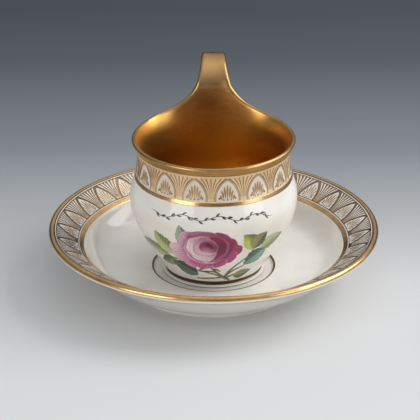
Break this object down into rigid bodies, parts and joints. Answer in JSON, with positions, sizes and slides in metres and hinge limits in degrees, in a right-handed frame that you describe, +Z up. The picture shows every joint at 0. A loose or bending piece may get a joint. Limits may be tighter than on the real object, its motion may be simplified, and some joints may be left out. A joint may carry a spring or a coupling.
{
  "type": "porcelain cup with saucer",
  "caption": "Bulbous porcelain cup, gilt inside, its rim swept up into a strap handle, standing loose in a deep saucer with gilt palmette borders.",
  "frame": {"origin": "on the table under the middle of the saucer's foot ring", "axes": "+Z up along the axis of cup and saucer, +Y towards the handle, -Y towards the painted front"},
  "size_m": [0.1552, 0.1552, 0.0954],
  "materials": {
    "porcelain": "warm white hard-paste porcelain under a clear glossy glaze",
    "gilt_porcelain": "porcelain gilded all over and burnished",
    "burnished_gold": "fired gold, burnished bright",
    "lining_gold": "fired gold, softly burnished, deep inside the cup",
    "border_gold": "matt gold ground with pointed arches and palmettes left in white",
    "brown_gold": "thin brown-gold painted line"
  },
  "bodies": {
    "saucer": {"saucer_dish": "porcelain", "saucer_rim_gilding": "burnished_gold", "saucer_palmette_border": "border_gold", "saucer_border_line": "burnished_gold", "saucer_well_line": "brown_gold"},
    "cup": {"cup_bowl": "porcelain", "cup_handle": "gilt_porcelain", "cup_gilt_lining": "lining_gold", "cup_rim_gilding": "burnished_gold", "cup_palmette_border": "border_gold", "cup_border_line": "burnished_gold", "cup_foot_line": "brown_gold"}
  },
  "joints": [
    {"name": "cup_lift", "type": "slide", "parent": "saucer", "child": "cup", "axis": [0, 0, 1], "range_m": [0, 0.12]}
  ]
}
